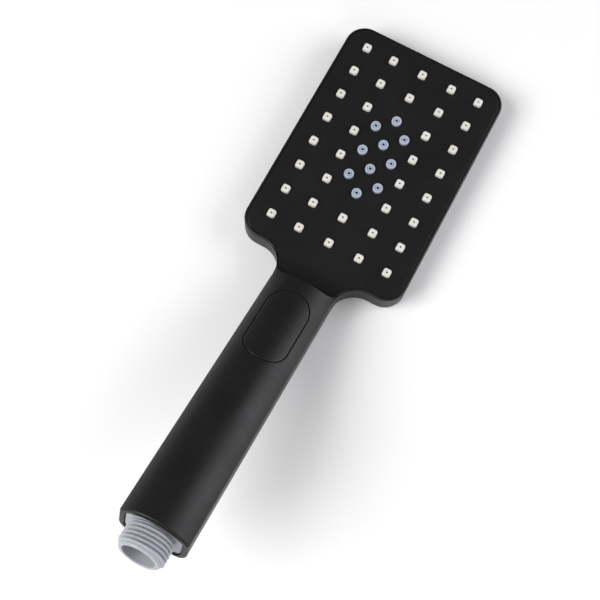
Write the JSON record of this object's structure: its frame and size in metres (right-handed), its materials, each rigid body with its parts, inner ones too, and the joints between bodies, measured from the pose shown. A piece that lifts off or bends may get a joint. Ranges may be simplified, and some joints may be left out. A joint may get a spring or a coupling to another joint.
{
  "type": "handheld shower head",
  "caption": "Matte black handheld shower head with a flat rectangular spray face, push-button spray selector and threaded inlet.",
  "frame": {"origin": "on the head's flat back, behind the middle of the nozzle field", "axes": "+Z is the spray direction, +Y runs from the handle towards the head's top edge, X runs across the head"},
  "size_m": [0.084, 0.2741, 0.0727],
  "materials": {
    "black_abs": "matte black coating on moulded ABS",
    "white_silicone": "soft satin silicone",
    "blue_silicone": "soft satin silicone, blue-grey",
    "inner_abs": "natural moulded ABS",
    "grey_abs": "satin moulded ABS, light grey",
    "acetal": "natural white acetal",
    "seal_rubber": "nitrile rubber",
    "spring_steel": "stainless steel",
    "restrictor_plastic": "moulded green plastic",
    "filter_plastic": "moulded grey plastic"
  },
  "bodies": {
    "handset": {"outer_shell": "black_abs", "spray_face": "black_abs", "rain_nozzle_mat": "white_silicone", "jet_nozzle_mat": "blue_silicone", "distributor_plate": "inner_abs", "chamber_gasket": "seal_rubber", "chamber_floor": "inner_abs", "chamber_screws": "spring_steel", "neck_duct": "inner_abs", "duct_gaskets": "seal_rubber", "valve_housing": "inner_abs", "port_seals": "seal_rubber", "valve_cap": "inner_abs", "valve_cap_seal": "seal_rubber", "valve_cap_screws": "spring_steel", "stem_o_ring": "seal_rubber", "inlet_tube": "grey_abs", "tube_o_rings": "seal_rubber", "check_valve_body": "acetal", "check_valve_o_ring": "seal_rubber", "flow_restrictor": "restrictor_plastic", "inlet_filter": "filter_plastic"},
    "button": {"button_cap": "black_abs", "button_plunger": "acetal", "return_spring": "spring_steel"},
    "rotor": {"diverter_rotor": "acetal"},
    "poppet": {"check_valve_poppet": "acetal", "poppet_seal": "seal_rubber", "check_valve_spring": "spring_steel"}
  },
  "joints": [
    {"name": "button_press", "type": "slide", "parent": "handset", "child": "button", "axis": [0, -0.3453, -0.9385], "range_m": [0, 0.002], "stiffness_N_per_m": 700, "deforming": ["return_spring"]},
    {"name": "rotor_turn", "type": "hinge", "parent": "handset", "child": "rotor", "pos_m": [0, -0.10477, 0.02039], "axis": [0, 0.3453, 0.9385], "range_deg": [0, 60]},
    {"name": "poppet_lift", "type": "slide", "parent": "handset", "child": "poppet", "axis": [0, 0.9385, -0.3453], "range_m": [0, 0.0025], "stiffness_N_per_m": 60, "deforming": ["check_valve_spring"]}
  ],
  "couplings": [
    {"joint": "rotor_turn", "follows": "button_press", "rad_per_m": 523.6}
  ]
}
